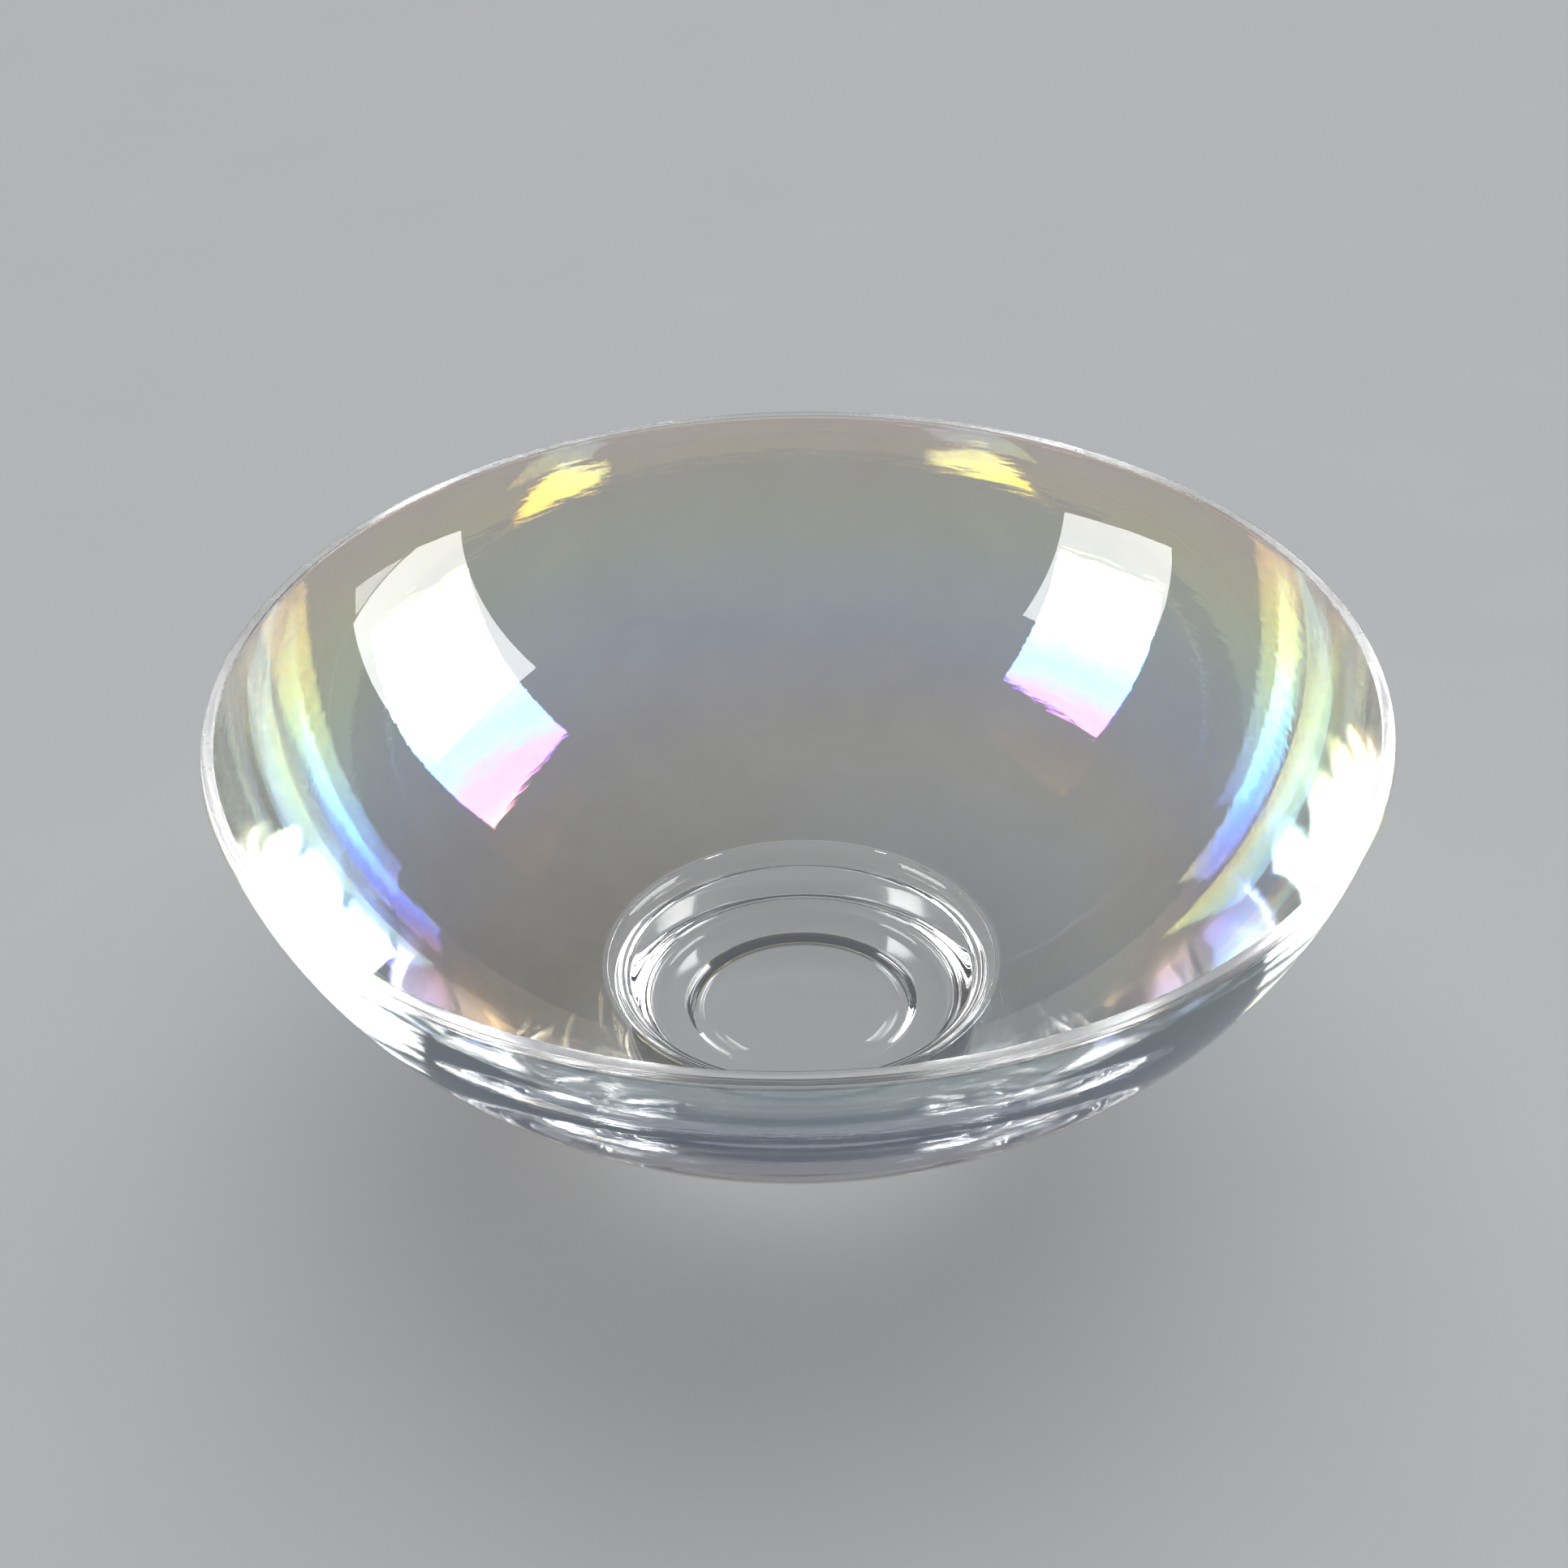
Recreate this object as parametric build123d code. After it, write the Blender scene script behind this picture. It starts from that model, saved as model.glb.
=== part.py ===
from build123d import *
import math
import os

# A footed art glass bowl: a heavy clear shell that thickens towards its base, a solid foot
# fused under it, and an iridescent film over the outside of the shell.
# Millimetres. The origin is the centre of the foot's ground face, +Z is the bowl's axis.

# Overall size
RIM_RADIUS = 140.0
HEIGHT = 122.0

# Shell: each wall is an arc of an ellipse that has its centre on the axis, above the rim
WALL_ANGLE = 82.0  # how far the arc runs, in degrees of the ellipse, from the bottom to the rim
OUTER_DEPTH = 99.6  # from the rim plane to the lowest point of the outer wall
BASE_THICKNESS = 13.0
RIM_THICKNESS = 2.7  # width of the flat, polished lip
BEVEL_RUN = 0.4  # ground edge outside the lip, across
BEVEL_DROP = 1.4  # and down

# Foot
FILLET_START = 52.0  # from the axis to where the foot's fillet leaves the shell
FOOT_RADIUS = 46.5
FOOT_EDGE = 6.5  # radius of the rounded lower edge
COVE_RADIUS = 33.5  # from the axis to the inside of the flat ground ring
COVE_DEPTH = 3.7  # how far the cove inside that ring rises
DISH_RADIUS = 24.0  # the polished dish in the middle, where the cove ends
DISH_DEPTH = 0.9  # how far the dish rises above the cove

# Film: drawn far thicker than the real oxide layer, so that it is a solid of its own
FILM_THICKNESS = 0.3
FILM_LOWER_RADIUS = FILLET_START + 1.0  # bare glass between the foot's fillet and the film
FILM_UPPER_DROP = 0.6  # bare glass between the bevel and the film's upper edge

BEVEL_HEIGHT = HEIGHT - BEVEL_DROP
SHELL_BOTTOM = HEIGHT - OUTER_DEPTH
FLOOR_HEIGHT = SHELL_BOTTOM + BASE_THICKNESS
LIP_OUTER_RADIUS = RIM_RADIUS - BEVEL_RUN
LIP_INNER_RADIUS = LIP_OUTER_RADIUS - RIM_THICKNESS


class Wall:
    """An ellipse about the bowl's axis that one wall follows."""

    def __init__(self, half_width, half_height, centre):
        self.half_width = half_width
        self.half_height = half_height
        self.centre = centre

    def angle_at(self, radius):
        """Degrees round the ellipse from its lowest point to where it has this radius."""
        return math.degrees(math.asin(radius / self.half_width))

    def slope_at(self, radius):
        """How steep the ellipse is where it has this radius, in radians."""
        rise = math.tan(math.radians(self.angle_at(radius)))
        return math.atan(rise * self.half_height / self.half_width)

    def angle_at_height(self, height):
        """Degrees round the ellipse from its lowest point to where it has this height."""
        return math.degrees(math.acos((self.centre - height) / self.half_height))

    def arc(self, start, end):
        """The ellipse between two such angles, in the radius-height plane."""
        return EllipticalCenterArc(
            (0, self.centre),
            self.half_width,
            self.half_height,
            start_angle=start - 90,
            arc_size=end - start,
        )

    def raised(self, thickness):
        """The ellipse one coat further out."""
        return Wall(self.half_width + thickness, self.half_height + thickness, self.centre)


def wall_through(top_radius, top_height, bottom_height):
    """The wall that has this radius at its top, and this lowest point."""
    angle = math.radians(WALL_ANGLE)
    half_height = (top_height - bottom_height) / (1 - math.cos(angle))
    return Wall(top_radius / math.sin(angle), half_height, bottom_height + half_height)


OUTER_WALL = wall_through(RIM_RADIUS, BEVEL_HEIGHT, SHELL_BOTTOM)
INNER_WALL = wall_through(LIP_INNER_RADIUS, HEIGHT, FLOOR_HEIGHT)


def spun(*edges):
    """The closed outline in the radius-height plane, turned about the axis."""
    return revolve(Plane.XZ * Face(Wire(edges)), Axis.Z, 360)


def bowl_shell():
    """The clear bowl: inside wall, flat lip, ground bevel and outside wall."""
    inside = INNER_WALL.arc(0, WALL_ANGLE)
    outside = OUTER_WALL.arc(0, WALL_ANGLE)
    lip = Line((LIP_INNER_RADIUS, HEIGHT), (LIP_OUTER_RADIUS, HEIGHT))
    bevel = Line((LIP_OUTER_RADIUS, HEIGHT), (RIM_RADIUS, BEVEL_HEIGHT))
    core = Line((0, SHELL_BOTTOM), (0, FLOOR_HEIGHT))
    return spun(inside, lip, bevel, outside, core)


def foot():
    """The solid foot: a fillet off the shell, a straight side, a rounded edge and a hollow."""
    seat = OUTER_WALL.arc(0, OUTER_WALL.angle_at(FILLET_START))
    turn = math.radians(90) - OUTER_WALL.slope_at(FILLET_START)
    fillet_radius = (FILLET_START - FOOT_RADIUS) / (1 - math.cos(turn))
    side_top = (FOOT_RADIUS, (seat @ 1).Y - fillet_radius * math.sin(turn))
    fillet = TangentArc(side_top, seat @ 1, tangent=(0, 1))
    edge = CenterArc((FOOT_RADIUS - FOOT_EDGE, FOOT_EDGE), FOOT_EDGE, -90, 90)
    side = Line(side_top, edge @ 1)
    ground = Line(edge @ 0, (COVE_RADIUS, 0))
    cove = TangentArc((DISH_RADIUS, COVE_DEPTH), ground @ 1, tangent=(1, 0))
    dish = TangentArc((0, COVE_DEPTH + DISH_DEPTH), cove @ 0, tangent=(1, 0))
    core = Line(dish @ 0, seat @ 0)
    return spun(seat, fillet, side, edge, ground, cove, dish, core)


def lustre_film():
    """The iridescent coat over the outside of the shell, from the foot to the bevel."""
    coat = OUTER_WALL.raised(FILM_THICKNESS)
    low = OUTER_WALL.angle_at(FILM_LOWER_RADIUS)
    high = OUTER_WALL.angle_at_height(BEVEL_HEIGHT - FILM_UPPER_DROP)
    inside = OUTER_WALL.arc(low, high)
    outside = coat.arc(low, high)
    lower_edge = Line(inside @ 0, outside @ 0)
    upper_edge = Line(inside @ 1, outside @ 1)
    return spun(inside, upper_edge, outside, lower_edge)


SUBPARTS = (bowl_shell, foot, lustre_film)

os.makedirs("parts", exist_ok=True)
for subpart in SUBPARTS:
    export_step(subpart(), f"parts/{subpart.__name__}.step")
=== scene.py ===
"""Looks of a footed art glass bowl with an iridescent coat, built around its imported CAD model.

Every length is in metres, in the frame of the CAD model: the origin is the centre of the foot's
ground face and +Z is the bowl's axis. Each new piece is a profile turned about that axis.
"""

import logging  # noqa: E402
import math  # noqa: E402
from dataclasses import dataclass, field  # noqa: E402
from enum import Enum  # noqa: E402
from typing import Any, Optional, Sequence, Union  # noqa: E402

import bpy  # noqa: E402
import numpy as np  # noqa: E402
from mathutils import Matrix, Vector  # noqa: E402


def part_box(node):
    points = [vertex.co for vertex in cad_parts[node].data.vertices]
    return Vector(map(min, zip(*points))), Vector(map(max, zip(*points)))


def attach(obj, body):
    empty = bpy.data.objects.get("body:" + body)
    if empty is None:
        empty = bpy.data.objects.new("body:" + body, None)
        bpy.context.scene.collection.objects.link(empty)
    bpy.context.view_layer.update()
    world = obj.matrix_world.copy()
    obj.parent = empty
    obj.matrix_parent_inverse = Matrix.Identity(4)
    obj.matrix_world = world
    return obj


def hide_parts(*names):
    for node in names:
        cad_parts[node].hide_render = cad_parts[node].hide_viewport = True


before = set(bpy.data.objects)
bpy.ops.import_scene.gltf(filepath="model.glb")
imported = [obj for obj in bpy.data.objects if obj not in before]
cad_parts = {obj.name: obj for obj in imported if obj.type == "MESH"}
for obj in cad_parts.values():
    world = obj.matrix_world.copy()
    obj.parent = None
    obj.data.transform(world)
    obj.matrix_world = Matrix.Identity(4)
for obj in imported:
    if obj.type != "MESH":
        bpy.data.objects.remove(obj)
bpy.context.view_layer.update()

BODY = "root"
MM = 0.001
TAU = 2.0 * math.pi
WALL_ANGLE = 82.0  # how far each wall runs round its ellipse, in degrees from the bottom
log = logging.getLogger("bowl")

Number = Union[int, float]
Colour = tuple[float, float, float, float]
Settings = dict[str, Any]


# ---------------------------------------------------------------------------------------------
# Shader building
# ---------------------------------------------------------------------------------------------


class Value:
    """One number socket of a shader, which Python's operators turn into Math nodes."""

    def __init__(self, tree: "Tree", socket: bpy.types.NodeSocket) -> None:
        """Keeps the tree that new nodes go to and the socket that holds the number."""
        self.tree = tree
        self.socket = socket

    def math(self, operation: str, *others: Union["Value", Number]) -> "Value":
        """Adds one Math node.

        Args:
            operation: the Math node's operation.
            others: its second and third operands.

        Returns:
            The node's result.
        """
        return self.tree.value("ShaderNodeMath", {"operation": operation}, [self, *others])

    def __add__(self, other: Union["Value", Number]) -> "Value":
        """self + other."""
        return self.math("ADD", other)

    __radd__ = __add__

    def __sub__(self, other: Union["Value", Number]) -> "Value":
        """self - other."""
        return self.math("SUBTRACT", other)

    def __rsub__(self, other: Number) -> "Value":
        """other - self."""
        return self * -1.0 + other

    def __mul__(self, other: Union["Value", Number]) -> "Value":
        """self * other."""
        return self.math("MULTIPLY", other)

    __rmul__ = __mul__

    def __truediv__(self, other: Union["Value", Number]) -> "Value":
        """self / other."""
        return self.math("DIVIDE", other)

    def __rtruediv__(self, other: Number) -> "Value":
        """other / self."""
        return self ** -1.0 * other

    def __pow__(self, other: Union["Value", Number]) -> "Value":
        """self ** other."""
        return self.math("POWER", other)

    def cosine(self) -> "Value":
        """Cosine of self in radians."""
        return self.math("COSINE")

    def clipped(self, low: float, high: float) -> "Value":
        """self held between low and high."""
        return self.math("MAXIMUM", low).math("MINIMUM", high)

    def step(self, start: float, end: float) -> "Value":
        """A smooth rise.

        Args:
            start: where self gives 0.
            end: where self gives 1.

        Returns:
            The rise.
        """
        settings = {"interpolation_type": "SMOOTHSTEP"}
        inputs = {"Value": self, "From Min": start, "From Max": end}
        return self.tree.value("ShaderNodeMapRange", settings, inputs)


@dataclass
class Place:
    """Where a shaded point lies: its cylinder coordinates and a vector that follows them."""

    radius: Value
    height: Value
    across: Value
    along: Value
    vector: bpy.types.NodeSocket


class Tree:
    """The node tree of one material."""

    def __init__(self, name: str) -> None:
        """Makes an empty node material called name."""
        self.material = bpy.data.materials.new(name)
        self.material.use_nodes = True
        self.nodes = self.material.node_tree.nodes
        self.links = self.material.node_tree.links
        self.nodes.clear()
        self.output = self.nodes.new("ShaderNodeOutputMaterial")

    def node(self, kind: str, settings: Optional[Settings] = None, inputs: Any = None) -> bpy.types.Node:
        """Adds any node.

        Args:
            kind: the node's type.
            settings: its properties, set before its sockets.
            inputs: values or links for its sockets, by name or in order.

        Returns:
            The new node.
        """
        node = self.nodes.new(kind)
        for key, setting in (settings or {}).items():
            setattr(node, key, setting)
        pairs = inputs.items() if isinstance(inputs, dict) else enumerate(inputs or [])
        for key, source in pairs:
            socket = node.inputs[key]
            if isinstance(source, Value):
                self.links.new(source.socket, socket)
            elif isinstance(source, bpy.types.NodeSocket):
                self.links.new(source, socket)
            else:
                socket.default_value = source
        return node

    def value(self, kind: str, settings: Optional[Settings] = None, inputs: Any = None) -> Value:
        """Adds any node and returns its first output as a number."""
        return Value(self, self.node(kind, settings, inputs).outputs[0])

    def place(self) -> Place:
        """Reads the object's own coordinates.

        Returns:
            The radius, the height and the direction about the axis.
        """
        coordinates = self.node("ShaderNodeTexCoord").outputs["Object"]
        parts = self.node("ShaderNodeSeparateXYZ", inputs=[coordinates])
        x, y, z = (Value(self, socket) for socket in parts.outputs)
        radius = (x * x + y * y + 1e-9) ** 0.5
        return Place(radius, z, x / radius, y / radius, coordinates)

    def vector(self, x: Any, y: Any, z: Any) -> bpy.types.NodeSocket:
        """A vector made of three numbers."""
        return self.node("ShaderNodeCombineXYZ", inputs=[x, y, z]).outputs[0]

    def noise(
        self, vector: bpy.types.NodeSocket, scale: float, detail: float = 2.0, rough: float = 0.5
    ) -> Value:
        """Noise about 0.5 at a vector.

        Args:
            vector: where the noise is read.
            scale: how many features it has for each unit of the vector.
            detail: how many finer layers it has.
            rough: how strong each finer layer is.

        Returns:
            The noise.
        """
        inputs = {"Vector": vector, "Scale": scale, "Detail": detail, "Roughness": rough}
        return self.value("ShaderNodeTexNoise", inputs=inputs)

    def bump(self, height: Value, distance: float) -> bpy.types.NodeSocket:
        """A normal tilted by a height map that is distance metres deep."""
        inputs = {"Strength": 1.0, "Distance": distance, "Height": height}
        return self.node("ShaderNodeBump", inputs=inputs).outputs[0]

    def finish(self, shader: bpy.types.Node) -> bpy.types.Material:
        """Joins a shader to the output and returns the material."""
        self.links.new(shader.outputs[0], self.output.inputs["Surface"])
        return self.material


# ---------------------------------------------------------------------------------------------
# Finishes
# ---------------------------------------------------------------------------------------------


def turning_marks(tree: Tree, place: Place, round_scale: float = 9.0, up_scale: float = 620.0) -> Value:
    """Fine feathered streaks that run round the axis.

    Args:
        tree: the tree that the nodes go to.
        place: where the shaded point is.
        round_scale: how fast the streaks change round the axis, by direction.
        up_scale: how fast they change up the wall, for each metre.

    Returns:
        A value about 0.5.
    """
    spread = tree.vector(place.across * round_scale, place.along * round_scale, place.height * up_scale)
    return tree.noise(spread, 1.0, 3.0, 0.55)


@dataclass(frozen=True)
class ClearGlass:
    """Clear colourless glass: nearly perfect polish, with faint wiping marks and slow waves.

    Glass that was shaped while it turned also has fine marks that follow its circles.
    """

    name: str
    tint: Colour = (0.985, 0.993, 0.992, 1.0)
    ior: float = 1.5
    least_roughness: float = 0.0
    haze: float = 0.012
    wipe_scale: float = 160.0
    wave_depth: float = 0.00002
    wave_scale: float = 22.0
    mark_depth: float = 0.0
    clarity: float = 1.0

    def material(self) -> bpy.types.Material:
        """Builds the finish: wipes vary the roughness, waves and marks bend the surface.

        Returns:
            The material.
        """
        tree = Tree(self.name)
        place = tree.place()
        wipes = tree.noise(place.vector, self.wipe_scale, 3.0).step(0.5, 0.8)
        waves = tree.noise(place.vector, self.wave_scale, 1.0) * self.wave_depth
        relief = waves + turning_marks(tree, place) * self.mark_depth
        glass = tree.node("ShaderNodeBsdfPrincipled", inputs={
            "Base Color": self.tint,
            "Roughness": wipes * self.haze + self.least_roughness,
            "IOR": self.ior,
            "Transmission Weight": self.clarity,
            "Normal": tree.bump(relief, 1.0),
        })
        return tree.finish(glass)


@dataclass(frozen=True)
class FusedSeam:
    """The hidden face where two pieces of glass are fused: light goes straight through it."""

    name: str = "fused_seam"

    def material(self) -> bpy.types.Material:
        """Builds the finish from one clear Transparent shader."""
        tree = Tree(self.name)
        return tree.finish(tree.node("ShaderNodeBsdfTransparent"))


@dataclass(frozen=True)
class LustreCoat:
    """An interference film whose thickness falls from the lip to the foot.

    A film of optical path p sends back 0.5 - 0.5 cos(2 pi p / w) of the light of wavelength w,
    which is worked out once each for red, green and blue. Paths, and what is added to them, are
    in nanometres.
    """

    name: str = "lustre_coat"
    path_at_foot: float = 300.0
    path_at_rim: float = 960.0
    foot_radius: float = 0.045
    rim_radius: float = 0.140
    curve: float = 2.0
    lean: float = 110.0
    front_loss: float = 240.0
    front_pallor: float = 0.6
    front_start: float = 0.05
    front_full: float = 0.85
    drift: float = 60.0
    drift_scale: float = 9.0
    bands: float = 60.0
    band_scale: float = 5.0
    band_rise: float = 9.0
    feathers: float = 70.0
    wavelengths: tuple[float, float, float] = (618.0, 546.0, 456.0)
    purity: float = 0.94
    strength: float = 0.36
    patchiness: float = 0.10
    patch_scale: float = 48.0
    roughness: float = 0.012
    mark_depth: float = 0.00003

    def path(self, tree: Tree, place: Place, front: Value, feathers: Value) -> Value:
        """Optical path in nanometres.

        It rises as a power of the radius. It is a little shorter low on the right and much
        shorter in front, and slow drift, bands that run round the wall and fine feathered
        streaks vary it.

        Args:
            tree: the tree that the nodes go to.
            place: where the shaded point is.
            front: 1 at the front of the bowl and 0 at its sides and back.
            feathers: the fine streaks, about 0.5.

        Returns:
            The path.
        """
        span = self.rim_radius - self.foot_radius
        share = ((place.radius - self.foot_radius) / span).clipped(0.0, 1.2)
        path = share ** self.curve * (self.path_at_rim - self.path_at_foot) + self.path_at_foot
        slow = tree.noise(place.vector, self.drift_scale, 2.0)
        around = tree.vector(place.across, place.along, place.height * self.band_rise)
        broad = tree.noise(around, self.band_scale, 3.0, 0.6)
        path = path - (1.0 - share) * place.across * self.lean
        path = path - front * share * self.front_loss
        path = path + (slow - 0.5) * self.drift
        return path + (broad - 0.5) * self.bands + (feathers - 0.5) * self.feathers

    def material(self) -> bpy.types.Material:
        """Builds the finish: a mirror-like sheet in the film's colours, mostly see-through.

        Returns:
            The material.
        """
        tree = Tree(self.name)
        place = tree.place()
        feathers = turning_marks(tree, place)
        front = (place.along * -1.0).step(self.front_start, self.front_full)
        path = self.path(tree, place, front, feathers)
        swing = (1.0 - front * self.front_pallor) * (0.5 * self.purity)
        fringes = [0.5 - (path * (TAU / wave)).cosine() * swing for wave in self.wavelengths]
        colour = tree.node("ShaderNodeCombineColor", inputs=fringes).outputs[0]
        patches = tree.noise(place.vector, self.patch_scale, 3.0)
        alpha = (patches - 0.5) * self.patchiness + self.strength
        coat = tree.node("ShaderNodeBsdfPrincipled", inputs={
            "Base Color": colour,
            "Metallic": 1.0,
            "Roughness": self.roughness,
            "Alpha": alpha,
            "Normal": tree.bump(feathers, self.mark_depth),
        })
        return tree.finish(coat)


@dataclass(frozen=True)
class PaleFloor:
    """A plain pale matt floor with a very faint mottle."""

    name: str = "pale_floor"
    low: Colour = (0.60, 0.61, 0.625, 1.0)
    high: Colour = (0.64, 0.65, 0.665, 1.0)
    mottle_scale: float = 14.0

    def material(self) -> bpy.types.Material:
        """Builds the finish: two close greys that noise mixes.

        Returns:
            The material.
        """
        tree = Tree(self.name)
        mottle = tree.noise(tree.place().vector, self.mottle_scale, 3.0)
        blend = {0: mottle, 6: self.low, 7: self.high}
        colour = tree.node("ShaderNodeMix", {"data_type": "RGBA"}, blend)
        floor = tree.node("ShaderNodeBsdfPrincipled", inputs={
            "Base Color": colour.outputs[2],
            "Roughness": 0.75,
            "Specular IOR Level": 0.2,
        })
        return tree.finish(floor)


# ---------------------------------------------------------------------------------------------
# Profiles and turned meshes
# ---------------------------------------------------------------------------------------------


@dataclass(frozen=True)
class Wall:
    """An ellipse about the axis that one wall follows, as in the CAD model."""

    half_width: float
    half_height: float
    centre: float

    @classmethod
    def through(cls, radius: float, top: float, bottom: float) -> "Wall":
        """The wall of this radius at its top and this lowest point.

        Args:
            radius: the wall's radius at its top.
            top: the height of its top.
            bottom: the height of its lowest point.

        Returns:
            The wall.
        """
        angle = math.radians(WALL_ANGLE)
        half_height = (top - bottom) / (1.0 - math.cos(angle))
        return cls(radius / math.sin(angle), half_height, bottom + half_height)

    def angle(self, radius: float) -> float:
        """The ellipse's parameter, from the bottom, where it has this radius."""
        return math.asin(min(radius / self.half_width, 1.0))

    def angle_at_height(self, height: float) -> float:
        """The ellipse's parameter, from the bottom, where it has this height."""
        return math.acos((self.centre - height) / self.half_height)

    def points(self, start: float, end: float, count: int) -> np.ndarray:
        """Points (radius, height) between two parameters: (w sin t, c - h cos t)."""
        t = np.linspace(start, end, count)
        return np.stack([self.half_width * np.sin(t), self.centre - self.half_height * np.cos(t)], 1)

    def slope(self, radius: float) -> float:
        """Steepness at a radius, in radians."""
        return math.atan(math.tan(self.angle(radius)) * self.half_height / self.half_width)

    def raised(self, thickness: float) -> "Wall":
        """The ellipse one coat further out."""
        return Wall(self.half_width + thickness, self.half_height + thickness, self.centre)


def arc(centre: Sequence[float], radius: float, start: float, end: float, count: int) -> np.ndarray:
    """Points on a circle of the radius-height plane, between two angles in degrees."""
    t = np.radians(np.linspace(start, end, count))
    return np.stack([centre[0] + radius * np.cos(t), centre[1] + radius * np.sin(t)], 1)


def line(start: Sequence[float], end: Sequence[float], count: int) -> np.ndarray:
    """Evenly spaced points on a straight line."""
    return np.linspace(start, end, count)


def corner(
    before: Sequence[float], at: Sequence[float], after: Sequence[float], size: float, count: int = 8
) -> np.ndarray:
    """A softened corner: the curve (1-t)^2 a + 2t(1-t) c + t^2 b.

    Args:
        before: a point on the way in, which gives the direction only.
        at: the sharp corner, c.
        after: a point on the way out, which gives the direction only.
        size: how far a and b lie from the corner.
        count: how many points the curve has.

    Returns:
        The curve's points.
    """
    c = np.array(at)
    way_in, way_out = np.array(before) - c, np.array(after) - c
    a = c + way_in * (size / np.linalg.norm(way_in))
    b = c + way_out * (size / np.linalg.norm(way_out))
    t = np.linspace(0.0, 1.0, count)[:, None]
    return (1.0 - t) ** 2 * a + 2.0 * t * (1.0 - t) * c + t ** 2 * b


class Outline:
    """A profile made of stretches, each of which has one finish."""

    def __init__(self) -> None:
        """Starts with no points."""
        self.stretches: list[np.ndarray] = []
        self.slots: list[np.ndarray] = []

    def add(self, points: np.ndarray, part: Enum) -> None:
        """Adds a stretch, which starts where the last one ended.

        Args:
            points: its points, as radius and height.
            part: which part of the piece it is, whose value is its faces' material slot.
        """
        fresh = points if not self.stretches else points[1:]
        self.slots.append(np.full(len(points) - 1, part.value, np.int32))
        self.stretches.append(fresh)

    def turned(self, name: str, sides: int, closed: bool = False) -> bpy.types.Object:
        """Turns the outline about the axis, as (r cos a, r sin a, z) for each angle a.

        Args:
            name: the new object's name.
            sides: how many steps go round.
            closed: whether the outline is a loop; otherwise it starts and ends on the axis.

        Returns:
            The object, with its faces pointing out of the glass.
        """
        profile = np.concatenate(self.stretches)
        slots = np.concatenate(self.slots)
        if closed:
            profile = profile[:-1]
        rings = profile if closed else profile[1:-1]
        turn = np.arange(sides) * (TAU / sides)
        grid = np.empty((len(rings), sides, 3))
        grid[..., 0] = rings[:, :1] * np.cos(turn)
        grid[..., 1] = rings[:, :1] * np.sin(turn)
        grid[..., 2] = rings[:, 1:]
        points = grid.reshape(-1, 3)
        index = np.arange(len(rings) * sides).reshape(len(rings), sides)
        beside = np.roll(index, -1, axis=1)
        corners = [index, np.roll(index, -1, 0), np.roll(beside, -1, 0), beside]
        if not closed:
            corners = [ring[:-1] for ring in corners]
        quads = np.stack(corners, -1).reshape(-1, 4)
        band_slots = slots if closed else slots[1:-1]
        loops = quads.reshape(-1)
        totals = np.full(len(quads), 4, np.int32)
        face_slots = np.repeat(band_slots, sides)
        if not closed:
            poles = len(points) + np.arange(2)
            ends = np.array([[0.0, 0.0, profile[0, 1]], [0.0, 0.0, profile[-1, 1]]])
            points = np.concatenate([points, ends])
            first = np.stack([np.full(sides, poles[0]), index[0], beside[0]], -1)
            last = np.stack([index[-1], np.full(sides, poles[1]), beside[-1]], -1)
            loops = np.concatenate([loops, first.reshape(-1), last.reshape(-1)])
            totals = np.concatenate([totals, np.full(2 * sides, 3, np.int32)])
            face_slots = np.concatenate([face_slots, np.repeat(slots[[0, -1]], sides)])
        return mesh_object(name, points, loops, totals, face_slots)


def mesh_object(
    name: str, points: np.ndarray, loops: np.ndarray, totals: np.ndarray, slots: np.ndarray
) -> bpy.types.Object:
    """Puts whole arrays into a new smooth-shaded mesh object.

    Args:
        name: the object's name.
        points: its vertices.
        loops: the vertex of every face corner.
        totals: how many corners each face has.
        slots: the material slot of each face.

    Returns:
        The object, in the scene, at the origin.
    """
    mesh = bpy.data.meshes.new(name)
    mesh.vertices.add(len(points))
    mesh.vertices.foreach_set("co", points.reshape(-1).astype(np.float32))
    mesh.loops.add(len(loops))
    mesh.loops.foreach_set("vertex_index", loops.astype(np.int32))
    mesh.polygons.add(len(totals))
    starts = np.concatenate([[0], np.cumsum(totals)[:-1]]).astype(np.int32)
    mesh.polygons.foreach_set("loop_start", starts)
    mesh.polygons.foreach_set("material_index", slots.astype(np.int32))
    mesh.polygons.foreach_set("use_smooth", np.ones(len(totals), bool))
    mesh.update(calc_edges=True)
    mesh.validate()
    piece = bpy.data.objects.new(name, mesh)
    bpy.context.scene.collection.objects.link(piece)
    return piece


def dress(piece: bpy.types.Object, finishes: dict[Enum, Any]) -> None:
    """Gives a piece a material slot for each of its parts, in the order of the parts' values."""
    for part in sorted(finishes, key=lambda part: part.value):
        piece.data.materials.append(finishes[part].material())


def hand_over(piece: bpy.types.Object, node: str) -> None:
    """Lets a piece ride with the body in place of a CAD node, and logs it.

    Args:
        piece: the finished piece.
        node: the CAD node that it stands for.
    """
    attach(piece, BODY)
    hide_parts(node)
    low, high = np.array(piece.bound_box).min(0), np.array(piece.bound_box).max(0)
    log.info("%s: %d faces, size %s m", piece.name, len(piece.data.polygons), np.round(high - low, 4))


# ---------------------------------------------------------------------------------------------
# The bowl
# ---------------------------------------------------------------------------------------------


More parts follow.
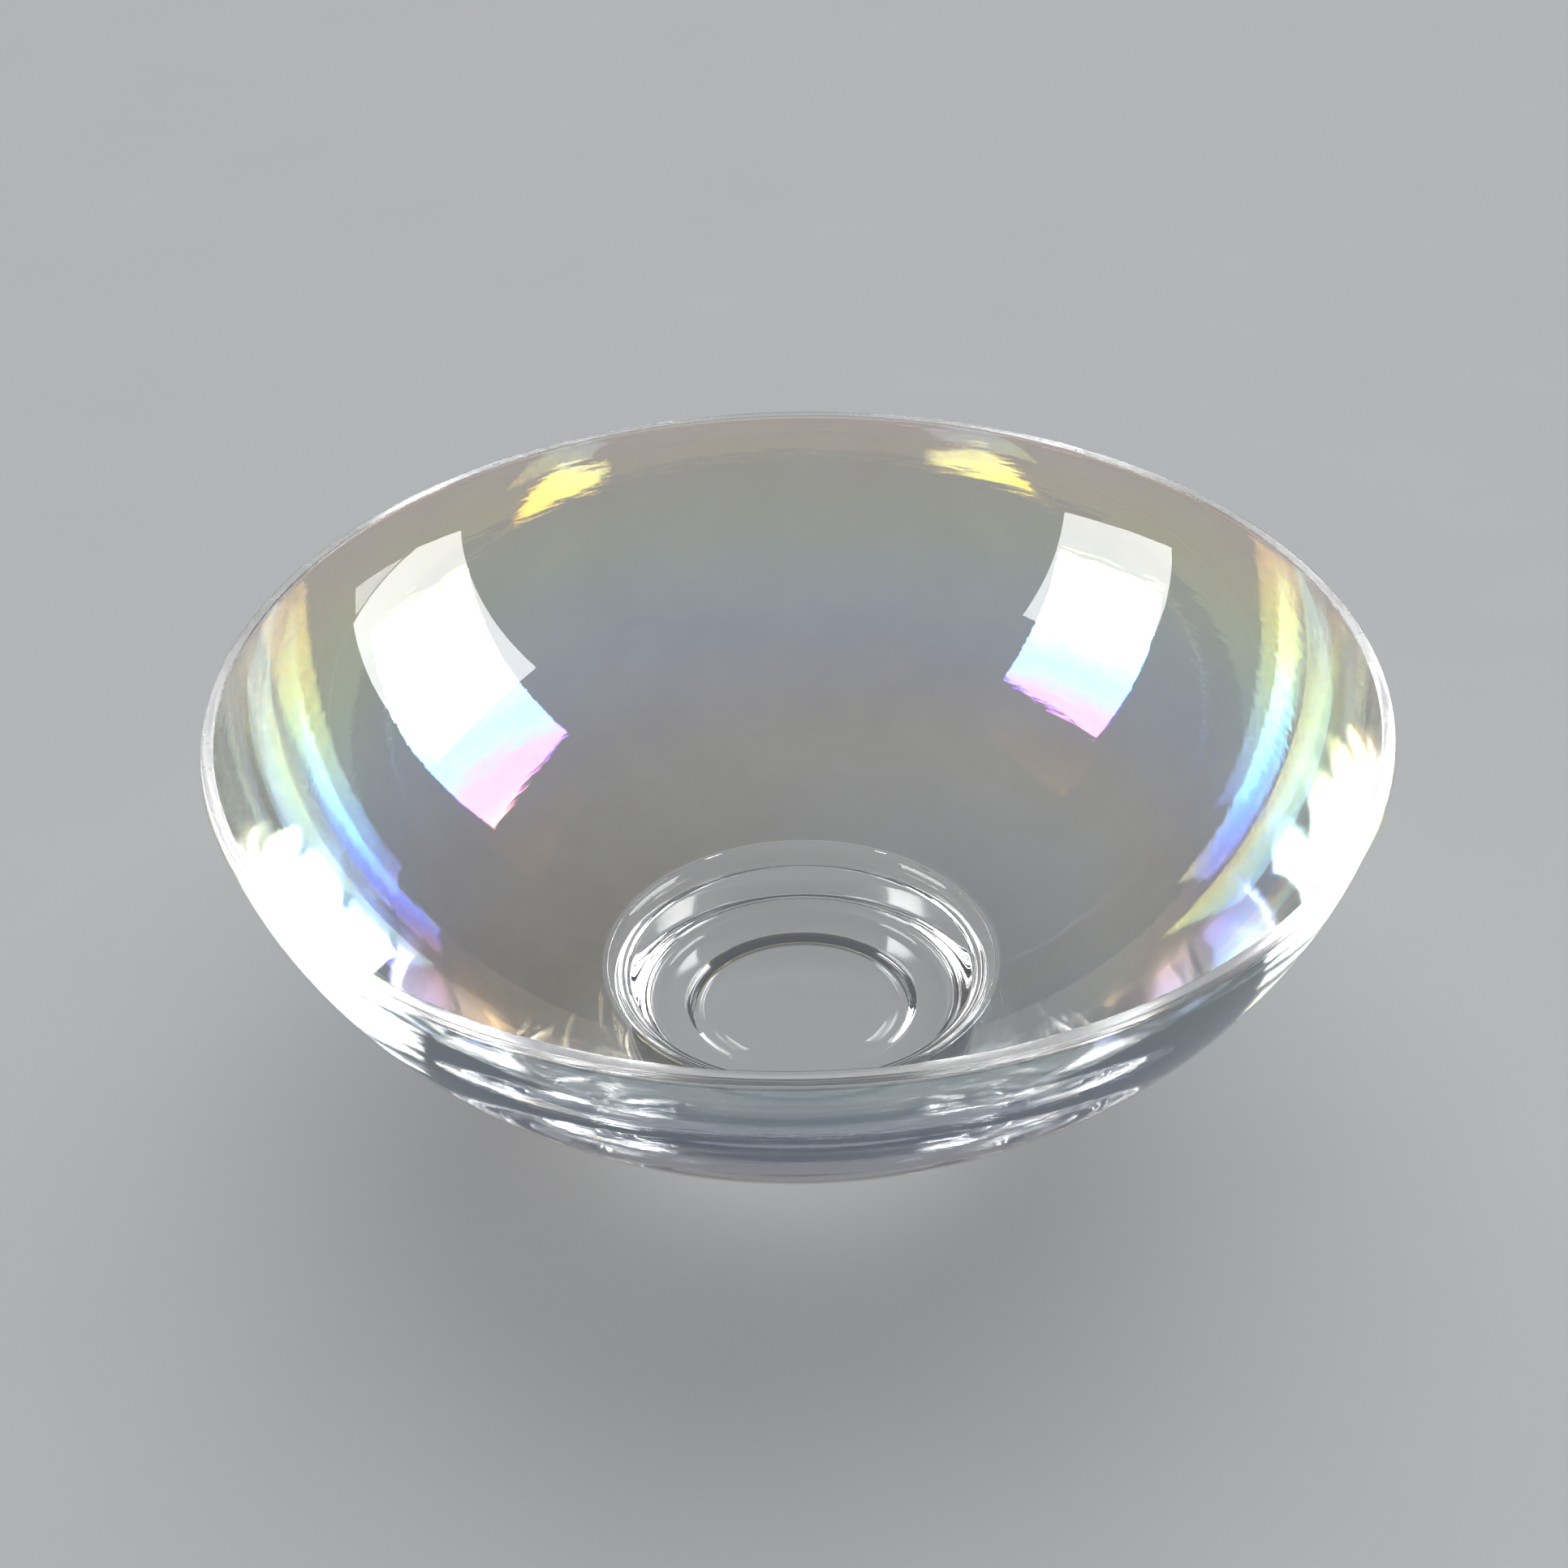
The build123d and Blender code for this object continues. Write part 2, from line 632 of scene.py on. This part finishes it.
@dataclass
class BowlSizes:
    """The sizes that every piece shares, read from the frame or named as in the CAD model."""

    base_thickness: float = 13.0 * MM
    lip_width: float = 2.7 * MM
    bevel_run: float = 0.4 * MM
    bevel_drop: float = 1.4 * MM
    rim_radius: float = field(init=False)
    height: float = field(init=False)
    shell_bottom: float = field(init=False)
    outer: Wall = field(init=False)
    inner: Wall = field(init=False)

    def __post_init__(self) -> None:
        """Reads the shell's box and works out the two walls."""
        low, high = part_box("bowl_shell")
        self.rim_radius = max(high.x, high.y, -low.x, -low.y)
        self.height = high.z
        self.shell_bottom = low.z
        self.outer = Wall.through(self.rim_radius, self.bevel_height, self.shell_bottom)
        self.inner = Wall.through(self.lip_inner, self.height, self.floor)

    @property
    def bevel_height(self) -> float:
        """Height of the widest circle, under the bevel."""
        return self.height - self.bevel_drop

    @property
    def floor(self) -> float:
        """Height of the bowl's floor."""
        return self.shell_bottom + self.base_thickness

    @property
    def lip_outer(self) -> float:
        """Outer radius of the flat lip."""
        return self.rim_radius - self.bevel_run

    @property
    def lip_inner(self) -> float:
        """Inner radius of the flat lip."""
        return self.lip_outer - self.lip_width


class ShellPart(Enum):
    """The parts of the shell's surface that differ in finish."""

    INSIDE = 0
    SEAM = 1
    BEVEL = 2
    OUTSIDE = 3
    LIP = 4


@dataclass
class Shell:
    """The clear bowl itself."""

    sizes: BowlSizes
    sides: int = 360
    wall_steps: int = 90
    near_steps: int = 7
    lip_steps: int = 9
    bevel_steps: int = 4
    seam_steps: int = 24
    seam_radius: float = 52.0 * MM
    softening: float = 0.35 * MM
    lip_zone: float = 2.0 * MM

    def wall(self, wall: Wall, top: float, low: float) -> np.ndarray:
        """One wall, with closer steps near its top.

        Args:
            wall: the wall's ellipse.
            top: the height of the sharp corner at its top.
            low: the ellipse's parameter where the stretch starts.

        Returns:
            Points from there up to where the softened corner begins.
        """
        end = wall.angle_at_height(top - self.softening)
        near = wall.angle_at_height(top - self.lip_zone)
        body = wall.points(low, near, self.wall_steps)
        return np.concatenate([body, wall.points(near, end, self.near_steps)[1:]])

    def build(self) -> bpy.types.Object:
        """Builds the shell: inside wall, flat lip, bevel, outside wall, and the seam to the foot.

        Returns:
            The shell, dressed and handed over.
        """
        s = self.sizes
        top = (s.lip_inner, s.height)
        brow = (s.lip_outer, s.height)
        widest = (s.rim_radius, s.bevel_height)
        seam = s.outer.angle(self.seam_radius)
        inside = self.wall(s.inner, s.height, 0.0)
        outside = self.wall(s.outer, s.bevel_height, seam)[::-1]
        inner_edge = corner(inside[-1], top, brow, self.softening)
        outer_edge = corner(top, brow, widest, self.softening)
        lower_edge = corner(brow, widest, outside[0], self.softening)
        lip = line(inner_edge[-1], outer_edge[0], self.lip_steps)
        bevel = line(outer_edge[-1], lower_edge[0], self.bevel_steps)
        outline = Outline()
        outline.add(np.concatenate([inside[:-1], inner_edge]), ShellPart.INSIDE)
        outline.add(lip, ShellPart.LIP)
        outline.add(np.concatenate([outer_edge[:-1], bevel]), ShellPart.BEVEL)
        outline.add(np.concatenate([lower_edge[:-1], outside[1:]]), ShellPart.OUTSIDE)
        outline.add(s.outer.points(seam, 0.0, self.seam_steps), ShellPart.SEAM)
        shell = outline.turned("bowl_shell_glass", self.sides)
        dress(shell, {
            ShellPart.INSIDE: ClearGlass("shell_glass"),
            ShellPart.SEAM: FusedSeam(),
            ShellPart.BEVEL: ClearGlass("ground_bevel", least_roughness=0.2),
            ShellPart.OUTSIDE: ClearGlass("turned_glass", mark_depth=0.008 * MM),
            ShellPart.LIP: ClearGlass("ground_lip", least_roughness=0.2, haze=0.12, clarity=0.8),
        })
        shell.visible_shadow = False
        hand_over(shell, "bowl_shell")
        return shell


class FootPart(Enum):
    """The parts of the foot's surface that differ in finish."""

    POLISHED = 0
    SEAM = 1
    GROUND = 2


@dataclass
class Foot:
    """The solid foot fused under the shell."""

    sizes: BowlSizes
    sides: int = 288
    fillet_start: float = 52.0 * MM
    radius: float = 46.5 * MM
    edge: float = 6.5 * MM
    cove_radius: float = 33.5 * MM
    cove_depth: float = 3.7 * MM
    dish_radius: float = 24.0 * MM
    dish_depth: float = 0.9 * MM
    curve_steps: int = 24
    side_steps: int = 12
    edge_steps: int = 22
    ring_steps: int = 9
    cove_steps: int = 18

    @staticmethod
    def hollow(outer: float, inner: float, low: float, high: float, count: int) -> np.ndarray:
        """A circle's arc from one ring up to another, level where it ends.

        Args:
            outer: the radius of the lower ring, where the arc starts.
            inner: the radius of the higher ring, where it ends.
            low: the height of the lower ring.
            high: the height of the higher ring.
            count: how many points the arc has.

        Returns:
            The arc's points.
        """
        run, rise = outer - inner, high - low
        radius = (run ** 2 + rise ** 2) / (2.0 * rise)
        reach = math.degrees(math.asin(run / radius))
        return arc((inner, high - radius), radius, 90.0 - reach, 90.0, count)

    def build(self) -> bpy.types.Object:
        """Builds the foot: seat, fillet, side, rounded edge, ground ring, cove and dish.

        Returns:
            The foot, dressed and handed over.
        """
        wall = self.sizes.outer
        seat = wall.points(0.0, wall.angle(self.fillet_start), self.curve_steps)
        turn = math.pi / 2 - wall.slope(self.fillet_start)
        bend = (self.fillet_start - self.radius) / (1.0 - math.cos(turn))
        side_top = seat[-1, 1] - bend * math.sin(turn)
        bend_centre = (self.radius + bend, side_top)
        bend_from = 180.0 - math.degrees(turn)
        ring_radius = self.radius - self.edge
        peak = self.cove_depth + self.dish_depth
        fillet = arc(bend_centre, bend, bend_from, 180.0, self.curve_steps)
        edge = arc((ring_radius, self.edge), self.edge, 0.0, -90.0, self.edge_steps)
        side = line((self.radius, side_top), (self.radius, self.edge), self.side_steps)
        ring = line((ring_radius, 0.0), (self.cove_radius, 0.0), self.ring_steps)
        cove = self.hollow(self.cove_radius, self.dish_radius, 0.0, self.cove_depth, self.cove_steps)
        dish = self.hollow(self.dish_radius, 0.0, self.cove_depth, peak, self.curve_steps)
        outline = Outline()
        outline.add(seat, FootPart.SEAM)
        outline.add(fillet, FootPart.POLISHED)
        outline.add(side, FootPart.POLISHED)
        outline.add(edge, FootPart.POLISHED)
        outline.add(ring, FootPart.GROUND)
        outline.add(cove, FootPart.POLISHED)
        outline.add(dish, FootPart.POLISHED)
        foot = outline.turned("foot_glass", self.sides)
        dress(foot, {
            FootPart.POLISHED: ClearGlass("foot_glass"),
            FootPart.SEAM: FusedSeam(),
            FootPart.GROUND: ClearGlass("ground_glass", least_roughness=0.1),
        })
        foot.visible_shadow = False
        hand_over(foot, "foot")
        return foot


class FilmPart(Enum):
    """The parts of the coat's surface that differ in finish."""

    COAT = 0
    BACK = 1


@dataclass
class Film:
    """The iridescent coat over the outside of the shell."""

    sizes: BowlSizes
    sides: int = 360
    steps: int = 90
    gap: float = 0.03 * MM
    thickness: float = 0.25 * MM
    lower_radius: float = 53.0 * MM
    upper_drop: float = 0.6 * MM

    def build(self) -> bpy.types.Object:
        """Builds the coat as a thin closed skin that stands a hair off the glass.

        Returns:
            The coat, dressed and handed over.
        """
        near = self.sizes.outer.raised(self.gap)
        far = self.sizes.outer.raised(self.thickness)
        top = self.sizes.bevel_height - self.upper_drop
        start = near.angle(self.lower_radius)
        end = near.angle_at_height(top)
        inside = near.points(start, end, self.steps)
        outside = far.points(end, start, self.steps)
        outline = Outline()
        outline.add(inside, FilmPart.BACK)
        outline.add(line(inside[-1], outside[0], 2), FilmPart.COAT)
        outline.add(outside, FilmPart.COAT)
        outline.add(line(outside[-1], inside[0], 2), FilmPart.COAT)
        film = outline.turned("lustre_coat", self.sides, closed=True)
        coat = LustreCoat(rim_radius=self.sizes.rim_radius)
        dress(film, {FilmPart.COAT: coat, FilmPart.BACK: FusedSeam("coat_back")})
        hand_over(film, "lustre_film")
        return film


# ---------------------------------------------------------------------------------------------
# Stage, lamps and camera
# ---------------------------------------------------------------------------------------------


def light_only(lamp: bpy.types.Object, pieces: Sequence[bpy.types.Object]) -> None:
    """Lets a lamp light some pieces and nothing else.

    Args:
        lamp: the lamp.
        pieces: the pieces.
    """
    lit = bpy.data.collections.new(lamp.name + "_lights")
    for piece in pieces:
        lit.objects.link(piece)
    lamp.light_linking.receiver_collection = lit


@dataclass(frozen=True)
class SoftBox:
    """A rectangular studio lamp."""

    name: str
    centre: tuple[float, float, float]
    across: tuple[float, float, float]
    up: tuple[float, float, float]
    width: float
    height: float
    radiance: float = 12.5

    def build(self) -> bpy.types.Object:
        """Makes the lamp: its X axis is across, its Y axis up, and it shines along -Z.

        Returns:
            The lamp.
        """
        data = bpy.data.lights.new(self.name, "AREA")
        data.shape = "RECTANGLE"
        data.size = self.width
        data.size_y = self.height
        data.energy = self.radiance * math.pi * self.width * self.height
        lamp = bpy.data.objects.new(self.name, data)
        x = Vector(self.across).normalized()
        z = x.cross(Vector(self.up)).normalized()
        y = z.cross(x)
        turn = Matrix((x, y, z)).transposed().to_4x4()
        lamp.matrix_world = Matrix.Translation(self.centre) @ turn
        lamp.visible_camera = False
        bpy.context.scene.collection.objects.link(lamp)
        return lamp


def soft_boxes(rim: float) -> list[SoftBox]:
    """The two studio lamps, one on each side.

    Args:
        rim: the height of the rim, from which they are placed.

    Returns:
        The right lamp and the left one.
    """
    right = SoftBox(
        name="right_box",
        centre=(0.664, 0.134, rim + 0.273),
        across=(0.09, 0.93, -0.32),
        up=(-0.40, 0.22, 0.89),
        width=0.43,
        height=0.60,
    )
    left = SoftBox(
        name="left_box",
        centre=(-0.66, -0.072, rim + 0.34),
        across=(0.34, -0.90, 0.29),
        up=(0.31, 0.44, 0.84),
        width=0.37,
        height=0.47,
    )
    return [right, left]


def build_overhead(
    strength: float = 2.05, spread: float = 70.0, pitch: float = -18.0, tilt: float = 8.0
) -> bpy.types.Object:
    """Makes the broad overhead light, which comes from a wide patch high behind the bowl.

    Args:
        strength: its strength.
        spread: how wide the patch is, in degrees.
        pitch: how far it leans about X, in degrees.
        tilt: how far it leans about Y, in degrees.

    Returns:
        The light.
    """
    data = bpy.data.lights.new("overhead", "SUN")
    data.energy = strength
    data.angle = math.radians(spread)
    lamp = bpy.data.objects.new("overhead", data)
    lamp.rotation_euler = (math.radians(pitch), math.radians(tilt), 0.0)
    bpy.context.scene.collection.objects.link(lamp)
    return lamp


@dataclass(frozen=True)
class View:
    """The camera: its place, aim and lens, placed in rim radii from the middle of the rim."""

    rim_radius: float
    rim_height: float
    back: float = 3.4693
    above: float = 2.2763
    yaw: float = -0.0070
    pitch: float = 0.6230
    roll: float = -0.0222
    lens: float = 55.9

    def build(self) -> None:
        """Makes the camera and the scene's camera. Yaw turns it right, pitch down."""
        forward = Vector((
            math.sin(self.yaw) * math.cos(self.pitch),
            math.cos(self.yaw) * math.cos(self.pitch),
            -math.sin(self.pitch),
        ))
        level = forward.cross(Vector((0.0, 0.0, 1.0))).normalized()
        upright = level.cross(forward)
        right = level * math.cos(self.roll) + upright * math.sin(self.roll)
        up = upright * math.cos(self.roll) - level * math.sin(self.roll)
        data = bpy.data.cameras.new("camera")
        data.lens = self.lens
        data.clip_start = 0.01
        camera = bpy.data.objects.new("camera", data)
        place = (0.0, -self.back * self.rim_radius, self.rim_height + self.above * self.rim_radius)
        turn = Matrix((right, up, -forward)).transposed().to_4x4()
        camera.matrix_world = Matrix.Translation(place) @ turn
        bpy.context.scene.collection.objects.link(camera)
        bpy.context.scene.camera = camera


def build_floor(reach: float = 12.0, sides: int = 128, gap: float = 0.2 * MM) -> bpy.types.Object:
    """Makes the floor, a flat round sheet whose faces point up.

    Args:
        reach: its radius.
        sides: how many sides it has.
        gap: how far it lies under the foot, so that the two never share a face.

    Returns:
        The floor.
    """
    turn = np.arange(sides) * (TAU / sides)
    edge = np.stack([reach * np.cos(turn), reach * np.sin(turn), np.full(sides, -gap)], 1)
    points = np.concatenate([[[0.0, 0.0, -gap]], edge])
    ring = np.arange(1, sides + 1)
    faces = np.stack([np.zeros(sides, int), ring, np.roll(ring, -1)], 1)
    floor = mesh_object("floor", points, faces.reshape(-1), np.full(sides, 3), np.zeros(sides))
    floor.data.materials.append(PaleFloor().material())
    return floor


def build_world(colour: Colour = (0.105, 0.11, 0.12, 1.0)) -> None:
    """Fills the studio with dim even light.

    Args:
        colour: the light's colour, with its strength in it.
    """
    world = bpy.data.worlds.new("studio")
    world.use_nodes = True
    world.node_tree.nodes["Background"].inputs["Color"].default_value = colour
    bpy.context.scene.world = world


def follow_light_far(deep: int = 48, clear: int = 64) -> None:
    """Lets light travel all the way round inside the thick wall, and shows colours as they are.

    Light that the glass would gather into bright spots on the floor is left out.

    Args:
        deep: how many bounces off or through glass a ray may make.
        clear: how many see-through faces it may cross.
    """
    cycles = bpy.context.scene.cycles
    cycles.max_bounces = deep
    cycles.transmission_bounces = deep
    cycles.glossy_bounces = deep
    cycles.transparent_max_bounces = clear
    cycles.caustics_refractive = False
    bpy.context.scene.view_settings.view_transform = "Standard"


def main() -> None:
    """Builds the camera, the stage and the bowl's pieces, in that order."""
    logging.basicConfig(level=logging.INFO, format="%(name)s: %(message)s")
    sizes = BowlSizes()
    View(sizes.rim_radius, sizes.height).build()
    floor = build_floor()
    build_world()
    pieces = [Shell(sizes).build(), Foot(sizes).build(), Film(sizes).build()]
    for box in soft_boxes(sizes.height):
        light_only(box.build(), pieces)
    light_only(build_overhead(), [floor])
    follow_light_far()


if __name__ == "__main__":
    main()
